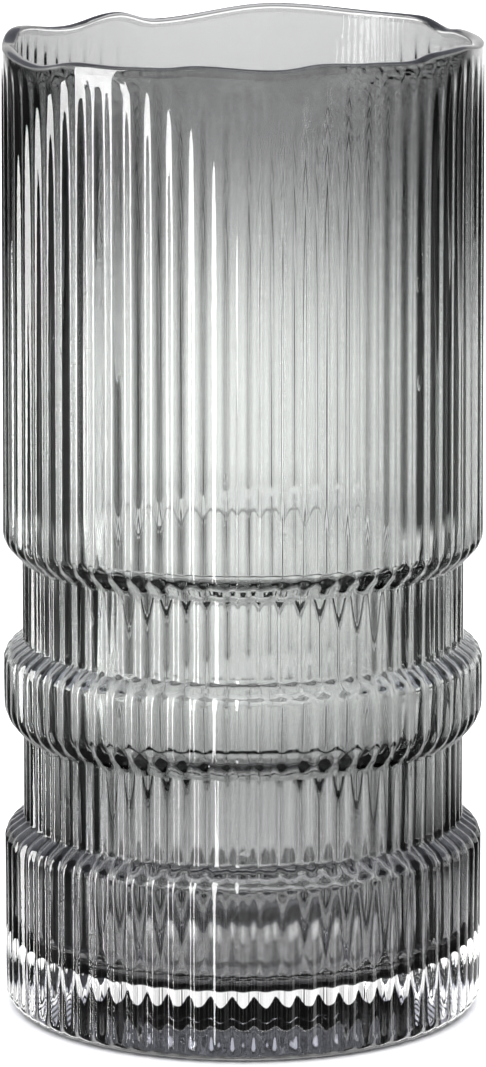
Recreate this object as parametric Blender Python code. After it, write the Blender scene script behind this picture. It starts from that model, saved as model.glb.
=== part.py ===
"""A mouth-blown cylinder vase in cased glass, of two layers fused together.

The clear casing is the outside: it carries the upright flutes of the mould, the heavy base with its
foot ring, and the rounded, slightly wavy rim.  The smoke lining is the thinner grey layer that
covers the whole inside and ends under the rim bead.  It is thickest at the base and near the rim.

Metres, +Z up.  The origin is the centre of the foot ring, on the surface that the vase stands on.
Angles round the vase start at its front, -Y, and grow towards +X.
"""

import math
from collections import namedtuple

import bmesh
import bpy

# Overall size: three wide tiers with two necks between them.
BODY_RADIUS = 0.0614  # over the flute crests
NECK_RADIUS = 0.0565
RIM_HEIGHT = 0.2495  # mean height of the wavy rim
RIM_TAPER = 0.0005  # how far the top tier draws in towards the rim

# Heights where the straight wall of each wide tier ends.
BASE_TOP = 0.0436
RING_BOTTOM = 0.0806
RING_TOP = 0.0906
BODY_BOTTOM = 0.1247
SHOULDER_SLOPE = math.radians(55)  # lean of the cone from a tier in to the neck above it
UNDERSIDE_SLOPE = math.radians(45)  # lean of the cone from a tier in to the neck below it

# Flutes: rounded ribs pressed into the outside, which die away in the last centimetres.
FLUTE_COUNT = 68
FLUTE_DEPTH = 0.0012
FLUTE_STEPS = 2  # points to a flute: its crest and its valley
FLUTE_END = 0.2470  # height where they have gone
FLUTE_FADE = 0.0150
FADE_HEIGHTS = (0.200, 0.222, 0.236, 0.244)

# Layers, as distances in from the flute crests.
CASING_WALL = 0.0024
LAYER_GAP = 0.0003  # stands in for the fused joint between the layers
LINING_WALLS = (  # height, thickness of the lining's wall there
    (0.044, 0.0011), (0.068, 0.0005), (0.172, 0.0005), (0.207, 0.0008), (0.232, 0.0012),
)
LINING_FLOOR = 0.0012

# Base.
FLOOR_HEIGHT = 0.0180  # inside floor, on the lining
FLOOR_CORNER = 0.0090  # radius of the casing's inside corner
FOOT_CORNER = 0.0050
FOOT_RING_RADIUS = 0.0460  # inner edge of the flat ring that the vase stands on
PUNT_RADIUS = 0.0380
PUNT_HEIGHT = 0.0056

# Rim bead of the casing, and its wave as (angle in degrees, rise in metres) at crests and dips.
BEAD_WALL = 0.0040
BEAD_DROP = 0.0010  # from the top of the bead to its widest point
BEAD_UNDERSIDE = 0.0012
RIM_WAVE = (
    (8, 0.0003), (20, 0.0015), (31, 0.0010), (44, 0.0005), (53, 0.0017), (64, 0.0018), (80, 0.0006),
    (110, 0.0003), (118, -0.0003), (130, 0.0017), (144, 0.0015), (171, 0.0024), (203, -0.0012),
    (214, 0.0012), (230, -0.0009), (257, 0.0018), (273, -0.0006), (301, -0.0020), (318, 0.0003),
    (327, 0.0002), (340, 0.0005), (349, 0.0013),
)

PLAIN_POINTS = FLUTE_COUNT  # points round a circle without flutes

# radius over the crests, height, share of the flute depth, share of the rim's wave
Ring = namedtuple("Ring", "radius height flutes wave")


def rim_rise(angle):
    """Height of the rim above its mean, eased from each crest or dip to the next."""
    degrees = math.degrees(angle) % 360
    stations = [(RIM_WAVE[-1][0] - 360, RIM_WAVE[-1][1])] + list(RIM_WAVE)
    stations.append((RIM_WAVE[0][0] + 360, RIM_WAVE[0][1]))
    for (start, low), (end, high) in zip(stations, stations[1:]):
        if start <= degrees <= end:
            ease = (1 - math.cos(math.pi * (degrees - start) / (end - start))) / 2
            return low + (high - low) * ease


def flute_share(height):
    """Part of the full flute depth at a height: all of it on the body, none at the rim."""
    return max(0.0, 1 - math.exp((height - FLUTE_END) / FLUTE_FADE))


def arc(centre_radius, centre_height, radius, start, end, steps):
    """Points (radius, height) on an arc, with angles in radians up from outwards."""
    points = []
    for i in range(steps + 1):
        angle = start + (end - start) * i / steps
        points.append(
            (centre_radius + radius * math.cos(angle), centre_height + radius * math.sin(angle))
        )
    return points


def step(wide_height, side, corner, fillet, inset):
    """Outline from a wide tier to the neck above (side 1) or below it (side -1), inset by a layer.

    A corner rounds the tier over, a cone leans in, and a fillet turns into the neck.  Insetting
    shrinks the corner and opens the fillet, so the layers keep their thickness all the way.
    """
    slope = SHOULDER_SLOPE if side > 0 else UNDERSIDE_SLOPE
    corner, fillet = corner - inset, fillet + inset
    wide, neck = BODY_RADIUS - inset, NECK_RADIUS - inset
    cone = (wide - neck) - (corner + fillet) * (1 - math.cos(slope))
    rise = (corner + fillet) * math.sin(slope) + cone / math.tan(slope)
    points = arc(wide - corner, 0, corner, 0, slope, 2)
    if fillet > 0:
        points += arc(neck + fillet, rise, fillet, math.pi + slope, math.pi, 1)
    else:
        points.append((neck, rise))
    points = [(radius, wide_height + side * height) for radius, height in points]
    return points if side > 0 else points[::-1]


def crests(height):
    return 0.0


def casing_inside(height):
    return CASING_WALL


def lining_outside(height):
    return CASING_WALL + LAYER_GAP


def lining_inside(height):
    """How far in from the crests the lining's inside is: its thickness changes with the height."""
    stations = [(0.0, LINING_WALLS[0][1])] + list(LINING_WALLS) + [(1.0, LINING_WALLS[-1][1])]
    for (low, thickness), (high, next_thickness) in zip(stations, stations[1:]):
        if low <= height <= high:
            share = (height - low) / (high - low)
            return lining_outside(height) + thickness + (next_thickness - thickness) * share


def wall(inset):
    """Outline of the three tiers and two necks, from the base tier to the foot of the top tier."""
    return (
        step(BASE_TOP, 1, 0.0050, 0.0010, inset(BASE_TOP))
        + step(RING_BOTTOM, -1, 0.0094, 0.0, inset(RING_BOTTOM))
        + step(RING_TOP, 1, 0.0050, 0.0010, inset(RING_TOP))
        + step(BODY_BOTTOM, -1, 0.0060, 0.0, inset(BODY_BOTTOM))
    )


def plain(points):
    return [Ring(radius, height, 0.0, 0.0) for radius, height in points]


def inner_wall(inset, floor):
    """A layer's plain outline from its floor's edge up to just below the rim."""
    corner = FLOOR_CORNER - (inset(0) - CASING_WALL)
    side = BODY_RADIUS - inset(0)
    rings = plain(arc(side - corner, floor + corner, corner, -math.pi / 2, 0, 3) + wall(inset))
    for height, _ in LINING_WALLS[-3:]:
        share = (height - BODY_BOTTOM) / (RIM_HEIGHT - BODY_BOTTOM)
        radius = BODY_RADIUS - inset(height) - RIM_TAPER * share
        rings.append(Ring(radius, height, 0.0, share ** 4))
    return rings


def rim_ring(inset, drop):
    """A plain circle that follows the wavy rim, a drop below its top."""
    return Ring(BODY_RADIUS - RIM_TAPER - inset, RIM_HEIGHT - drop, 0.0, 1.0)


def foot_outline():
    """The underside from the punt out to the flat foot ring, and its corner up to the flutes."""
    flat_edge = BODY_RADIUS - FOOT_CORNER
    rings = plain([
        (PUNT_RADIUS * 0.8, PUNT_HEIGHT),
        (PUNT_RADIUS, PUNT_HEIGHT * 0.9),
        (FOOT_RING_RADIUS, 0.0),
        (flat_edge, 0.0),
    ])
    for radius, height in arc(flat_edge, FOOT_CORNER, FOOT_CORNER, -math.pi / 2, 0, 3)[1:]:
        rings.append(Ring(radius, height, height / FOOT_CORNER, 0.0))
    return rings


def casing_outline():
    """The clear casing: under the base, up the flutes, over the bead and down the inside."""
    rings = foot_outline()
    rings += [Ring(radius, height, 1.0, 0.0) for radius, height in wall(crests)]
    for i, height in enumerate(FADE_HEIGHTS):
        rise = (height - BODY_BOTTOM) / (RIM_HEIGHT - BODY_BOTTOM)
        wave = i / len(FADE_HEIGHTS)
        rings.append(Ring(BODY_RADIUS - RIM_TAPER * rise, height, flute_share(height), wave))
    middle = BEAD_WALL / 2
    rings += [
        rim_ring(0.0004, BEAD_DROP),
        rim_ring(0.0012, BEAD_DROP * 0.3),
        rim_ring(middle, 0.0),
        rim_ring(BEAD_WALL - 0.0008, BEAD_DROP * 0.3),
        rim_ring(BEAD_WALL + 0.0002, BEAD_DROP),
        rim_ring(BEAD_WALL, BEAD_UNDERSIDE),
        rim_ring(CASING_WALL, BEAD_UNDERSIDE),
    ]
    return rings + inner_wall(casing_inside, FLOOR_HEIGHT - LINING_FLOOR - LAYER_GAP)[::-1]


def lining_outline():
    """The smoke lining: out under its floor, up against the casing, and down the inside."""
    top = BEAD_UNDERSIDE + LAYER_GAP
    rings = inner_wall(lining_outside, FLOOR_HEIGHT - LINING_FLOOR)
    rings.append(rim_ring(lining_outside(RIM_HEIGHT), top))
    rings.append(rim_ring(lining_inside(RIM_HEIGHT), top))
    return rings + inner_wall(lining_inside, FLOOR_HEIGHT)[::-1]


def ring_verts(bm, ring):
    """Vertices of one ring, counter-clockwise from above, with its flutes if it has any."""
    count = FLUTE_COUNT * FLUTE_STEPS if ring.flutes > 0 else PLAIN_POINTS
    verts = []
    for i in range(count):
        flute = i / FLUTE_STEPS
        across = 2 * (flute - round(flute))  # 0 on a crest, 1 in a valley
        angle = 2 * math.pi * i / count
        radius = ring.radius - ring.flutes * FLUTE_DEPTH * across * across
        height = ring.height + ring.wave * rim_rise(angle)
        verts.append(bm.verts.new((radius * math.sin(angle), -radius * math.cos(angle), height)))
    return verts


def bridge(bm, first, second):
    """Joins two rings, one of which may have a whole number of times the other's points."""
    count = max(len(first), len(second))
    for i in range(count):
        a, b = (first[(i + k) * len(first) // count % len(first)] for k in (0, 1))
        d, c = (second[(i + k) * len(second) // count % len(second)] for k in (0, 1))
        bm.faces.new(dict.fromkeys((a, b, c, d)))


def close_on_axis(bm, ring, facing_up):
    """Fills a ring with a fan round a point on the axis."""
    centre = bm.verts.new((0, 0, ring[0].co.z))
    for a, b in zip(ring, ring[1:] + ring[:1]):
        bm.faces.new((centre, a, b) if facing_up else (centre, b, a))


def turned_layer(name, outline, material):
    """One closed layer of the vase, from an outline that starts and ends near the axis."""
    bm = bmesh.new()
    rings = [ring_verts(bm, ring) for ring in outline]
    for first, second in zip(rings, rings[1:]):
        bridge(bm, first, second)
    close_on_axis(bm, rings[0], facing_up=False)
    close_on_axis(bm, rings[-1], facing_up=True)
    mesh = bpy.data.meshes.new(name)
    bm.to_mesh(mesh)
    bm.free()
    mesh.shade_smooth()
    mesh.set_sharp_from_angle(angle=math.radians(30))
    mesh.materials.append(material)
    layer = bpy.data.objects.new(name, mesh)
    bpy.context.scene.collection.objects.link(layer)
    return layer


def glass(name, color):
    material = bpy.data.materials.new(name)
    material.use_nodes = True
    shader = material.node_tree.nodes["Principled BSDF"]
    shader.inputs["Base Color"].default_value = (*color, 1.0)
    shader.inputs["Metallic"].default_value = 0.0
    shader.inputs["Roughness"].default_value = 0.02
    shader.inputs["IOR"].default_value = 1.5
    shader.inputs["Transmission Weight"].default_value = 1.0
    return material


def clear_scene():
    for old in list(bpy.data.objects):
        bpy.data.objects.remove(old)


def main():
    clear_scene()
    vase = bpy.data.objects.new("vase", None)
    bpy.context.scene.collection.objects.link(vase)
    layers = (
        turned_layer("clear_casing", casing_outline(), glass("clear_glass", (0.93, 0.95, 0.95))),
        turned_layer("smoke_lining", lining_outline(), glass("smoke_glass", (0.40, 0.41, 0.43))),
    )
    for layer in layers:
        layer.parent = vase


main()
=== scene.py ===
import math
from collections import namedtuple

import bpy
import numpy as np
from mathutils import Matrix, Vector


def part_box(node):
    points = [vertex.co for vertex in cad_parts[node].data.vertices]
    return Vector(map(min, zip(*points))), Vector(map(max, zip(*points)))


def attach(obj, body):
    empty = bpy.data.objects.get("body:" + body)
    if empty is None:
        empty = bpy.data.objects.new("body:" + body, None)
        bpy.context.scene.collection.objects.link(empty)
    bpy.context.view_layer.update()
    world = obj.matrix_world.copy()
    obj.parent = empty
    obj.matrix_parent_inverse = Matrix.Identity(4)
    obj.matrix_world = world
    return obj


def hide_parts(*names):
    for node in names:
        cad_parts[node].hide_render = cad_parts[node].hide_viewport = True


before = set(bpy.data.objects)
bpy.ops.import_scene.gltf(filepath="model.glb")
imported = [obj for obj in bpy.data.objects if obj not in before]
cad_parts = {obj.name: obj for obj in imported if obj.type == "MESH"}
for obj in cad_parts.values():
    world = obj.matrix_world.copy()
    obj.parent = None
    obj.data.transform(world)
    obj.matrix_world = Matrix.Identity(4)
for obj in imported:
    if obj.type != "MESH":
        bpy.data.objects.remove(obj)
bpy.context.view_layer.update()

CASING, LINING = "clear_casing", "smoke_lining"

# ---- Sizes of the vase, in metres.  The CAD part's box gives the width, and the rest follow it, but for a
# thinner bead, layers that lie closer together and a lining that varies more. ----
BODY_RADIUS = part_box(CASING)[1][0]
NECK_RADIUS = 0.0565
RIM_HEIGHT = 0.2495
RIM_TAPER = 0.0005

BASE_TOP = 0.0436
RING_BOTTOM = 0.0806
RING_TOP = 0.0906
BODY_BOTTOM = 0.1247
SHOULDER_SLOPE = math.radians(55)
SHOULDER_CORNER = 0.0050
SHOULDER_FILLET = 0.0010
UNDERSIDE_SLOPE = math.radians(45)
UNDERSIDE_FILLET = 0.0003
RING_UNDER_CORNER = 0.0094
BODY_UNDER_CORNER = 0.0060
ARC_STEPS = 6
CORNER_STEPS = 8
BODY_STEPS = 28
INSIDE_STEPS = 24

FLUTE_COUNT = 68
FLUTE_DEPTH = 0.0012
FLUTE_NARROWING = 0.03  # how much narrower a valley is than a crest
FLUTE_END = 0.2470
FLUTE_FADE = 0.0150
FLUTE_POINTS = 12
PLAIN_POINTS = 3 * FLUTE_COUNT

CASING_WALL = 0.0024
JOINT_GAP = 0.00004  # keeps the two skins of the fused joint apart
LINING_FLOOR = 0.0012
LINING_WALLS = (  # height, thickness of the lining's wall there
    (0.000, 0.00080), (0.030, 0.00080), (0.041, 0.00110), (0.050, 0.00095), (0.068, 0.00060),
    (0.076, 0.00090), (0.0805, 0.00080), (0.086, 0.00040), (0.112, 0.00038), (0.120, 0.00070),
    (0.1247, 0.00060), (0.130, 0.00038), (0.172, 0.00038), (0.190, 0.00055), (0.207, 0.00075),
    (0.222, 0.00100), (0.232, 0.00120), (0.250, 0.00110),
)

FLOOR_HEIGHT = 0.0180
FLOOR_CORNER = 0.0090
FOOT_CORNER = 0.0050
FOOT_RING_RADIUS = 0.0460
PUNT_RADIUS = 0.0380
PUNT_HEIGHT = 0.0056

BEAD_WALL = 0.0036
BEAD_EDGE = 0.0001  # how far in from the flute crests the bead starts
BEAD_DROP = 0.0010
BEAD_UNDERSIDE = 0.0012
BEAD_STEPS = 12
RIM_WAVE = (  # angle in degrees, rise of the rim, at its crests and dips
    (8, 0.0003), (20, 0.0015), (31, 0.0010), (44, 0.0005), (53, 0.0017), (64, 0.0018), (80, 0.0006),
    (110, 0.0003), (118, -0.0003), (130, 0.0017), (144, 0.0015), (171, 0.0024), (203, -0.0012),
    (214, 0.0012), (230, -0.0009), (257, 0.0018), (273, -0.0006), (301, -0.0020), (318, 0.0003),
    (327, 0.0002), (340, 0.0005), (349, 0.0013),
)

# ---- Glass ----
GLASS_IOR = 1.5
WALL_TINTS = (  # height, tint of the casing's skin there
    (0.030, (1.0, 1.0, 1.0)), (0.060, (0.91, 0.925, 0.91)), (0.180, (0.91, 0.925, 0.91)),
    (0.235, (0.80, 0.805, 0.80)),
)
BEAD_TINT = (0.60, 0.60, 0.60)
SMOKE_COLOR = (0.10, 0.10, 0.11)
SMOKE_DENSITY = 800.0
LINING_HAZE = 0.006
BLOWN_DEPTH = 0.00012
BLOWN_STRETCH = (1.0, 1.0, 0.4)
SEED_SCALE = 110.0
SEED_CORE, SEED_EDGE = 0.04, 0.10
WAVINESS_SCALE = 70.0
WAVINESS_SHARE = 0.4

# ---- Studio ----
FLOOR_SIZE = 24.0
FLOOR_COLOR = (0.96, 0.96, 0.96)
SUN_STRENGTH = 4.8
SUN_ANGLE = math.radians(100)

SOFTBOX_STRENGTH = 16.0
SOFTBOX_AZIMUTH = math.radians(-73)
SOFTBOX_DISTANCE = 1.5
# Wide at the top and narrow at the bottom, so the streaks on the vase thin out downwards.
SOFTBOX_OUTLINE = (
    (-0.07, -1.20), (-0.10, -0.40), (-0.31, -0.16), (-0.31, 1.20), (0.31, 1.20), (0.31, -0.04),
    (0.07, -0.18), (0.03, -0.40), (0.00, -1.20),
)

# The surroundings, in bands from straight down to straight up.  Each band starts at a height of the
# direction and holds (azimuth in degrees, brightness) stops; azimuth 0 is the side the camera is on.
# They are white behind the vase and dark on the camera's side, which draws the dark lines in the flutes.
# Three soft strips on the dark side show the flutes up from behind.
SURROUNDINGS_STRENGTH = 2.0
BAND_BLEND = 0.02
STRIPS = (
    (-62, 0.05), (-50, 0.30), (-38, 0.05), (-12, 0.06), (0, 0.42),
    (12, 0.06), (38, 0.05), (50, 0.30), (62, 0.05),
)
NEUTRAL, COOL = (1.0, 1.0, 1.0), (0.96, 0.98, 1.12)
BANDS = (
    (-1.0, NEUTRAL, (
        (-180, 0.5), (-160, 0.5), (-145, 0.9), (-128, 0.9), (-112, 0.05), (112, 0.05), (128, 0.9),
        (145, 0.9), (160, 0.5), (180, 0.5),
    )),
    (-0.60, NEUTRAL, (
        (-180, 0.25), (-160, 0.25), (-150, 0.9), (-128, 0.9), (-112, 0.05), (112, 0.05), (128, 0.9),
        (150, 0.9), (160, 0.25), (180, 0.25),
    )),
    (-0.36, NEUTRAL, ((-180, 1), (-124, 1), (-108, 0.05), *STRIPS, (74, 0.08), (92, 1), (180, 1))),
    (-0.235, NEUTRAL, ((-180, 1), (-160, 1), (-145, 0.03), *STRIPS, (131, 0.04), (144, 1), (180, 1))),
    (0.0, NEUTRAL, (
        (-180, 0.52), (-150, 0.52), (-130, 1), (-85, 1), *STRIPS, (85, 1), (130, 1), (150, 0.52),
        (180, 0.52),
    )),
    (0.32, COOL, (
        (-180, 0.25), (-162, 0.25), (-148, 0.38), (-110, 0.38), (-80, 0.15), (0, 0.1), (80, 0.15),
        (110, 0.38), (148, 0.38), (162, 0.25), (180, 0.25),
    )),
    (0.93, COOL, ((-180, 0.6), (180, 0.6))),
)

CAMERA_PLACE = (0.0, -1.58, 0.453)
CAMERA_DIP = math.radians(11.8)
CAMERA_LENS = 213.2

# radius over the crests, height, share of the flute depth, share of the rim's wave
Ring = namedtuple("Ring", "radius height flutes wave")


# ---- Outline of the vase ----
def rim_rise(angle):
    """Height of the rim above its mean, eased from each crest or dip to the next."""
    degrees = math.degrees(angle) % 360
    stations = [(RIM_WAVE[-1][0] - 360, RIM_WAVE[-1][1])] + list(RIM_WAVE)
    stations.append((RIM_WAVE[0][0] + 360, RIM_WAVE[0][1]))
    for (start, low), (end, high) in zip(stations, stations[1:]):
        if start <= degrees <= end:
            ease = (1 - math.cos(math.pi * (degrees - start) / (end - start))) / 2
            return low + (high - low) * ease


def flute_share(height):
    """Share of the full flute depth, which dies away below the rim."""
    return max(0.0, 1 - math.exp((height - FLUTE_END) / FLUTE_FADE))


def flute_dip(flute):
    """Share of the flute depth at a place counted in flutes from the first crest."""
    wave = 2 * math.pi * flute
    return (1 - math.cos(wave) - FLUTE_NARROWING * (1 - math.cos(2 * wave))) / 2


def arc(centre_radius, centre_height, radius, start, end, steps):
    points = []
    for i in range(steps + 1):
        angle = start + (end - start) * i / steps
        points.append((
            centre_radius + radius * math.cos(angle), centre_height + radius * math.sin(angle)
        ))
    return points


def step(wide_height, side, corner, fillet, inset):
    """Corner, cone and fillet between a tier and a neck, above the tier (side 1) or below it (side -1)."""
    slope = SHOULDER_SLOPE if side > 0 else UNDERSIDE_SLOPE
    corner, fillet = corner - inset, fillet + inset
    wide, neck = BODY_RADIUS - inset, NECK_RADIUS - inset
    cone = (wide - neck) - (corner + fillet) * (1 - math.cos(slope))
    rise = (corner + fillet) * math.sin(slope) + cone / math.tan(slope)
    points = arc(wide - corner, 0, corner, 0, slope, ARC_STEPS)
    points += arc(neck + fillet, rise, fillet, math.pi + slope, math.pi, ARC_STEPS)
    points = [(radius, wide_height + side * height) for radius, height in points]
    return points if side > 0 else points[::-1]


def wall(inset):
    """The wall from the base to the top tier, at a distance in from the flute crests."""
    return (
        step(BASE_TOP, 1, SHOULDER_CORNER, SHOULDER_FILLET, inset(BASE_TOP))
        + step(RING_BOTTOM, -1, RING_UNDER_CORNER, UNDERSIDE_FILLET, inset(RING_BOTTOM))
        + step(RING_TOP, 1, SHOULDER_CORNER, SHOULDER_FILLET, inset(RING_TOP))
        + step(BODY_BOTTOM, -1, BODY_UNDER_CORNER, UNDERSIDE_FILLET, inset(BODY_BOTTOM))
    )


# Distances in from the flute crests, by height.
def crests(height):
    return 0.0


def casing_inside(height):
    return CASING_WALL


def lining_outside(height):
    return CASING_WALL + JOINT_GAP


def lining_inside(height):
    return CASING_WALL + JOINT_GAP + float(np.interp(height, *zip(*LINING_WALLS)))


def plain(points):
    return [Ring(radius, height, 0.0, 0.0) for radius, height in points]


def rim_ring(inset, drop):
    """A ring that follows the whole wave of the rim, at a distance below its top."""
    return Ring(BODY_RADIUS - RIM_TAPER - inset, RIM_HEIGHT - drop, 0.0, 1.0)


def foot_outline():
    """Punt, flat foot ring and rounded corner, from the middle outwards."""
    flat_edge = BODY_RADIUS - FOOT_CORNER
    slope = (PUNT_RADIUS + FOOT_RING_RADIUS) / 2
    rings = plain([
        (0.01, PUNT_HEIGHT), (PUNT_RADIUS * 0.8, PUNT_HEIGHT), (PUNT_RADIUS, PUNT_HEIGHT * 0.9),
        (slope, PUNT_HEIGHT * 0.5), (FOOT_RING_RADIUS, 0.0), (flat_edge, 0.0),
    ])
    for radius, height in arc(flat_edge, FOOT_CORNER, FOOT_CORNER, -math.pi / 2, 0, CORNER_STEPS)[1:]:
        rings.append(Ring(radius, height, height / FOOT_CORNER, 0.0))
    return rings


def casing_outside():
    """The fluted outside, from the punt up to the rim bead."""
    rings = foot_outline()
    rings += [Ring(radius, height, 1.0, 0.0) for radius, height in wall(crests)]
    for i in range(1, BODY_STEPS + 1):
        share = i / BODY_STEPS
        height = BODY_BOTTOM + (FLUTE_END - BODY_BOTTOM) * share
        rings.append(Ring(BODY_RADIUS - RIM_TAPER * share, height, flute_share(height), share ** 4))
    return rings


def bead():
    """The rounded rim, over the top of the casing and the lining."""
    rings = []
    for i in range(BEAD_STEPS + 1):
        angle = math.pi * i / BEAD_STEPS
        across = BEAD_EDGE + (BEAD_WALL - BEAD_EDGE) * (1 - math.cos(angle)) / 2
        rings.append(rim_ring(across, BEAD_DROP * (1 - math.sin(angle))))
    rings.append(rim_ring(BEAD_WALL - BEAD_EDGE / 2, BEAD_UNDERSIDE))
    return rings


def inner_wall(inset, floor):
    """An inside skin, from the middle of its floor up to the underside of the bead."""
    corner = FLOOR_CORNER - (inset(0) - CASING_WALL)
    side = BODY_RADIUS - inset(0)
    turn = arc(side - corner, floor + corner, corner, -math.pi / 2, 0, CORNER_STEPS)
    rings = plain([(side * 0.3, floor), (side * 0.6, floor)] + turn + wall(inset))
    top = RIM_HEIGHT - BEAD_UNDERSIDE
    for i in range(1, INSIDE_STEPS):
        share = i / INSIDE_STEPS
        height = BODY_BOTTOM + (top - BODY_BOTTOM) * share
        rings.append(Ring(BODY_RADIUS - inset(height) - RIM_TAPER * share, height, 0.0, share ** 4))
    return rings


# ---- Meshes ----
def ring_points(ring):
    count = FLUTE_COUNT * FLUTE_POINTS if ring.flutes > 0 else PLAIN_POINTS
    points = np.zeros((count, 3))
    for i in range(count):
        angle = 2 * math.pi * i / count
        radius = ring.radius - ring.flutes * FLUTE_DEPTH * flute_dip(i / FLUTE_POINTS)
        height = ring.height + ring.wave * rim_rise(angle)
        points[i] = (radius * math.sin(angle), -radius * math.cos(angle), height)
    return points


def bridge(first, second):
    """Faces between two rings, each given as (first vertex, count); the counts may differ."""
    count = max(first[1], second[1])
    faces = []
    for i in range(count):
        a, b = ((i + k) * first[1] // count % first[1] + first[0] for k in (0, 1))
        d, c = ((i + k) * second[1] // count % second[1] + second[0] for k in (0, 1))
        faces.append(tuple(dict.fromkeys((a, b, c, d))))
    return faces


def cap(ring, centre, up):
    """Fan that closes the mesh at its first or last ring."""
    first, count = ring
    rim = [(first + i, first + (i + 1) % count) for i in range(count)]
    return [(centre, a, b) if up else (centre, b, a) for a, b in rim]


def turned(name, material, sections):
    """Closed mesh turned from sections of (rings, values); a section's values go on its faces.

    Both ends close on the axis at the first ring's height, so the last ring's fan slopes down to it.
    """
    points, faces, owners, rings = [], [], [], []
    offset = 0
    for index, (section, _) in enumerate(sections):
        for ring in section:
            points.append(ring_points(ring))
            rings.append((offset, len(points[-1])))
            offset += len(points[-1])
            if len(rings) > 1:
                faces += bridge(*rings[-2:])
                owners += [index] * (len(faces) - len(owners))
    centre = np.array([[0, 0, points[0][0][2]]])
    for ring, up, index in ((rings[0], False, 0), (rings[-1], True, len(sections) - 1)):
        points.append(centre)
        faces += cap(ring, offset, up)
        owners += [index] * (len(faces) - len(owners))
        offset += 1
    mesh = bpy.data.meshes.new(name)
    mesh.from_pydata(np.concatenate(points).tolist(), [], faces)
    mesh.materials.append(material)
    mesh.shade_smooth()
    mesh.set_sharp_from_angle(angle=math.radians(30))
    for key in sections[0][1]:
        by_section = np.array([values[key] for _, values in sections], np.float32)
        attribute = mesh.attributes.new(key, "FLOAT", "FACE")
        attribute.data.foreach_set("value", by_section[owners])
    made = bpy.data.objects.new(name, mesh)
    bpy.context.scene.collection.objects.link(made)
    return made


# ---- Materials ----
def add_node(tree, kind, inputs, **settings):
    """New node; an input is given its value, or is linked if the value is another node's socket."""
    node = tree.nodes.new(kind)
    for key, value in settings.items():
        setattr(node, key, value)
    for key, value in inputs.items():
        if isinstance(value, bpy.types.NodeSocket):
            tree.links.new(value, node.inputs[key])
        else:
            node.inputs[key].default_value = value
    return node


def mix_colors(tree, factor, first, second):
    """Colour that goes from the first to the second as the factor goes from 0 to 1."""
    mix = add_node(tree, "ShaderNodeMix", {}, data_type="RGBA")
    for index, value in ((0, factor), (6, first), (7, second)):
        if isinstance(value, tuple):
            mix.inputs[index].default_value = (*value, 1)
        else:
            tree.links.new(value, mix.inputs[index])
    return mix.outputs[2]


def color_ramp(tree, source, low, high, stops):
    """Colour by a source that runs from low to high, through stops of (place, colour)."""
    share = add_node(tree, "ShaderNodeMapRange", {"Value": source, "From Min": low, "From Max": high})
    ramp = add_node(tree, "ShaderNodeValToRGB", {"Fac": share.outputs[0]})
    elements = ramp.color_ramp.elements
    elements.remove(elements[1])
    for i, (place, color) in enumerate(stops):
        where = (place - low) / (high - low)
        element = elements[0] if i == 0 else elements.new(where)
        element.position = where
        element.color = (*color, 1)
    return ramp.outputs["Color"]


def principled(name, **inputs):
    material = bpy.data.materials.new(name)
    material.use_nodes = True
    shader = material.node_tree.nodes["Principled BSDF"]
    for key, value in inputs.items():
        shader.inputs[key.replace("_", " ")].default_value = value
    return material, material.node_tree, shader


def glass(name):
    """Clear glass.  Its IOR is read from the faces: the glass's own against air, 1 in the fused joint."""
    material, tree, shader = principled(
        name, Base_Color=(1, 1, 1, 1), Roughness=0.0, Transmission_Weight=1.0
    )
    ior = add_node(tree, "ShaderNodeAttribute", {}, attribute_name="ior").outputs["Fac"]
    tree.links.new(ior, shader.inputs["IOR"])
    return material, tree, shader, ior


def clear_glass():
    """The casing's glass, with a faint smoke tint by height and a darker one on the bead."""
    material, tree, shader, _ = glass("clear_glass")
    coords = add_node(tree, "ShaderNodeTexCoord", {})
    split = add_node(tree, "ShaderNodeSeparateXYZ", {0: coords.outputs["Object"]})
    tint = color_ramp(tree, split.outputs["Z"], 0.0, 0.26, WALL_TINTS)
    on_bead = add_node(tree, "ShaderNodeAttribute", {}, attribute_name="bead")
    tint = mix_colors(tree, on_bead.outputs["Fac"], tint, BEAD_TINT)
    tree.links.new(tint, shader.inputs["Base Color"])
    return material


def blown_surface(tree, shader):
    """Seeds and a slow waviness, as mouth-blown glass has."""
    coords = add_node(tree, "ShaderNodeTexCoord", {})
    place = add_node(
        tree, "ShaderNodeMapping", {"Vector": coords.outputs["Object"], "Scale": BLOWN_STRETCH}
    ).outputs[0]
    cells = add_node(tree, "ShaderNodeTexVoronoi", {"Vector": place, "Scale": SEED_SCALE})
    seeds = add_node(tree, "ShaderNodeMapRange", {
        "Value": cells.outputs["Distance"], "From Min": SEED_CORE, "From Max": SEED_EDGE,
        "To Min": 1.0, "To Max": 0.0,
    })
    waves = add_node(
        tree, "ShaderNodeTexNoise", {"Vector": place, "Scale": WAVINESS_SCALE, "Detail": 1.0}
    )
    height = add_node(
        tree, "ShaderNodeMath", {0: waves.outputs["Fac"], 1: WAVINESS_SHARE, 2: seeds.outputs[0]},
        operation="MULTIPLY_ADD",
    )
    bump = add_node(tree, "ShaderNodeBump", {"Height": height.outputs[0], "Distance": BLOWN_DEPTH})
    tree.links.new(bump.outputs[0], shader.inputs["Normal"])


def smoke_glass():
    """The lining's glass: grey by its depth, and a little hazy on the side that meets the air."""
    material, tree, shader, ior = glass("smoke_glass")
    haze = add_node(tree, "ShaderNodeMapRange", {
        "Value": ior, "From Min": 1.0, "From Max": GLASS_IOR, "To Max": LINING_HAZE,
    })
    tree.links.new(haze.outputs[0], shader.inputs["Roughness"])
    blown_surface(tree, shader)
    volume = add_node(
        tree, "ShaderNodeVolumeAbsorption", {"Color": (*SMOKE_COLOR, 1), "Density": SMOKE_DENSITY}
    )
    tree.links.new(volume.outputs[0], tree.nodes["Material Output"].inputs["Volume"])
    return material


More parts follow.
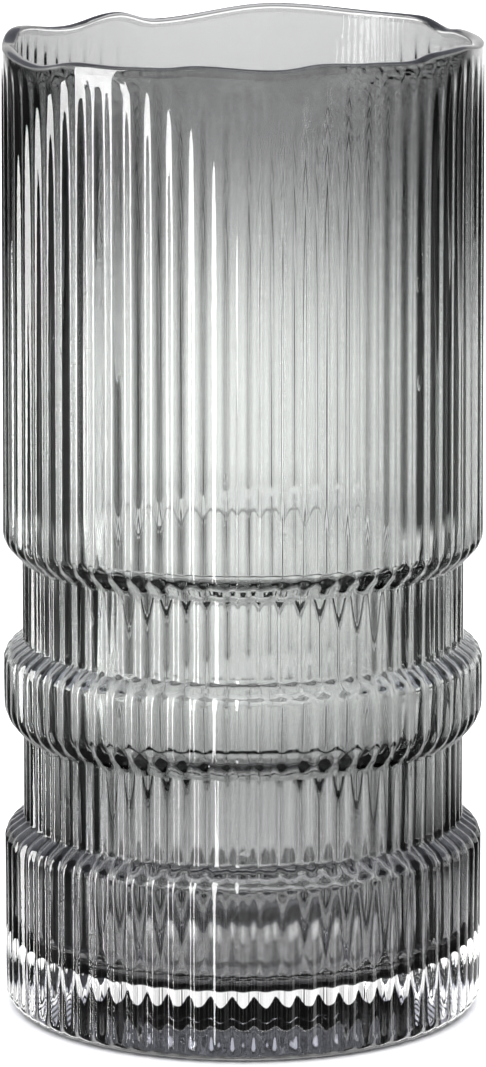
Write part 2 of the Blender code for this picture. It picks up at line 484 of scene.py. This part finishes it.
def white_light(name, strength):
    material = bpy.data.materials.new(name)
    material.use_nodes = True
    tree = material.node_tree
    tree.nodes.clear()
    light = add_node(tree, "ShaderNodeEmission", {"Color": (1, 1, 1, 1), "Strength": strength})
    add_node(tree, "ShaderNodeOutputMaterial", {"Surface": light.outputs[0]})
    return material


# ---- The vase ----
def in_frame(piece, node):
    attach(piece, "root")
    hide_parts(node)


def make_casing():
    """Outside and bead against the air, then the joint side down to the floor."""
    joint_side = [rim_ring(CASING_WALL, BEAD_UNDERSIDE)]
    joint_side += inner_wall(casing_inside, FLOOR_HEIGHT - LINING_FLOOR - JOINT_GAP)[::-1]
    casing = turned("casing_glass", clear_glass(), [
        (casing_outside(), {"ior": GLASS_IOR, "bead": 0.0}),
        (bead(), {"ior": GLASS_IOR, "bead": 1.0}),
        (joint_side, {"ior": 1.0, "bead": 0.0}),
    ])
    in_frame(casing, CASING)


def make_lining():
    """The joint side up to the bead, then the side that holds the water."""
    top = BEAD_UNDERSIDE + JOINT_GAP
    joint_side = inner_wall(lining_outside, FLOOR_HEIGHT - LINING_FLOOR)
    joint_side.append(rim_ring(lining_outside(RIM_HEIGHT), top))
    water_side = [rim_ring(lining_inside(RIM_HEIGHT), top)]
    water_side += inner_wall(lining_inside, FLOOR_HEIGHT)[::-1]
    lining = turned("lining_glass", smoke_glass(), [
        (joint_side, {"ior": 1.0}),
        (water_side, {"ior": GLASS_IOR}),
    ])
    in_frame(lining, LINING)


# ---- The studio ----
def card(name, outline, material, location=(0, 0, 0), rotation=(0, 0, 0)):
    """Flat sheet cut to an outline."""
    mesh = bpy.data.meshes.new(name)
    mesh.from_pydata([(x, y, 0) for x, y in outline], [], [tuple(range(len(outline)))])
    mesh.materials.append(material)
    made = bpy.data.objects.new(name, mesh)
    made.location, made.rotation_euler = location, rotation
    bpy.context.scene.collection.objects.link(made)
    return made


def make_floor():
    """Pale floor.  The glass sees the surroundings in its place."""
    half = FLOOR_SIZE / 2
    paint, _, _ = principled(
        "floor_paint", Base_Color=(*FLOOR_COLOR, 1), Roughness=0.9, Specular_IOR_Level=0.0
    )
    floor = card("floor", ((-half, -half), (half, -half), (half, half), (-half, half)), paint)
    floor.visible_glossy = False
    floor.visible_transmission = False


def make_softbox():
    """Tall light on the left, which draws the white streaks on the flutes."""
    place = (
        SOFTBOX_DISTANCE * math.sin(SOFTBOX_AZIMUTH),
        -SOFTBOX_DISTANCE * math.cos(SOFTBOX_AZIMUTH),
        0.0,
    )
    softbox = card(
        "softbox_left", SOFTBOX_OUTLINE[::-1], white_light("softbox_white", SOFTBOX_STRENGTH),
        place, (math.pi / 2, 0, SOFTBOX_AZIMUTH),
    )
    softbox.visible_camera = False
    softbox.visible_diffuse = False
    softbox.visible_shadow = False


def make_overhead():
    """Broad soft light from above, for the floor."""
    sun = bpy.data.lights.new("overhead", "SUN")
    sun.energy = SUN_STRENGTH
    sun.angle = SUN_ANGLE
    lamp = bpy.data.objects.new("overhead", sun)
    lamp.visible_glossy = False
    lamp.visible_transmission = False
    bpy.context.scene.collection.objects.link(lamp)


def make_surroundings():
    """The bands, each blended into the one below it."""
    world = bpy.data.worlds.new("studio")
    bpy.context.scene.world = world
    world.use_nodes = True
    tree = world.node_tree
    coords = add_node(tree, "ShaderNodeTexCoord", {})
    split = add_node(tree, "ShaderNodeSeparateXYZ", {0: coords.outputs["Generated"]})
    front = add_node(tree, "ShaderNodeMath", {0: split.outputs["Y"], 1: -1.0}, operation="MULTIPLY")
    turn = add_node(
        tree, "ShaderNodeMath", {0: split.outputs["X"], 1: front.outputs[0]}, operation="ARCTAN2"
    )
    azimuth = add_node(tree, "ShaderNodeMath", {0: turn.outputs[0]}, operation="DEGREES").outputs[0]
    color = None
    for height, tint, stops in BANDS:
        stops = [(place, tuple(value * share for share in tint)) for place, value in stops]
        band = color_ramp(tree, azimuth, -180, 180, stops)
        if color is None:
            color = band
            continue
        edges = ((height - BAND_BLEND, (0, 0, 0)), (height + BAND_BLEND, (1, 1, 1)))
        above = color_ramp(tree, split.outputs["Z"], -1, 1, edges)
        color = mix_colors(tree, above, color, band)
    background = tree.nodes["Background"]
    background.inputs["Strength"].default_value = SURROUNDINGS_STRENGTH
    tree.links.new(color, background.inputs["Color"])


def make_camera():
    camera = bpy.data.cameras.new("camera")
    camera.lens = CAMERA_LENS
    camera.sensor_width = 36
    camera.clip_end = 50
    eye = bpy.data.objects.new("camera", camera)
    eye.location = CAMERA_PLACE
    eye.rotation_euler = (math.pi / 2 - CAMERA_DIP, 0, 0)
    bpy.context.scene.collection.objects.link(eye)
    bpy.context.scene.camera = eye


def set_light_paths():
    """Plain colours, and enough bounces for two walls of two layers each, one behind the other."""
    scene = bpy.context.scene
    scene.view_settings.view_transform = "Standard"
    scene.cycles.max_bounces = 40
    scene.cycles.transmission_bounces = 40
    scene.cycles.glossy_bounces = 16
    scene.cycles.transparent_max_bounces = 16


make_casing()
make_lining()
make_floor()
make_softbox()
make_overhead()
make_surroundings()
make_camera()
set_light_paths()
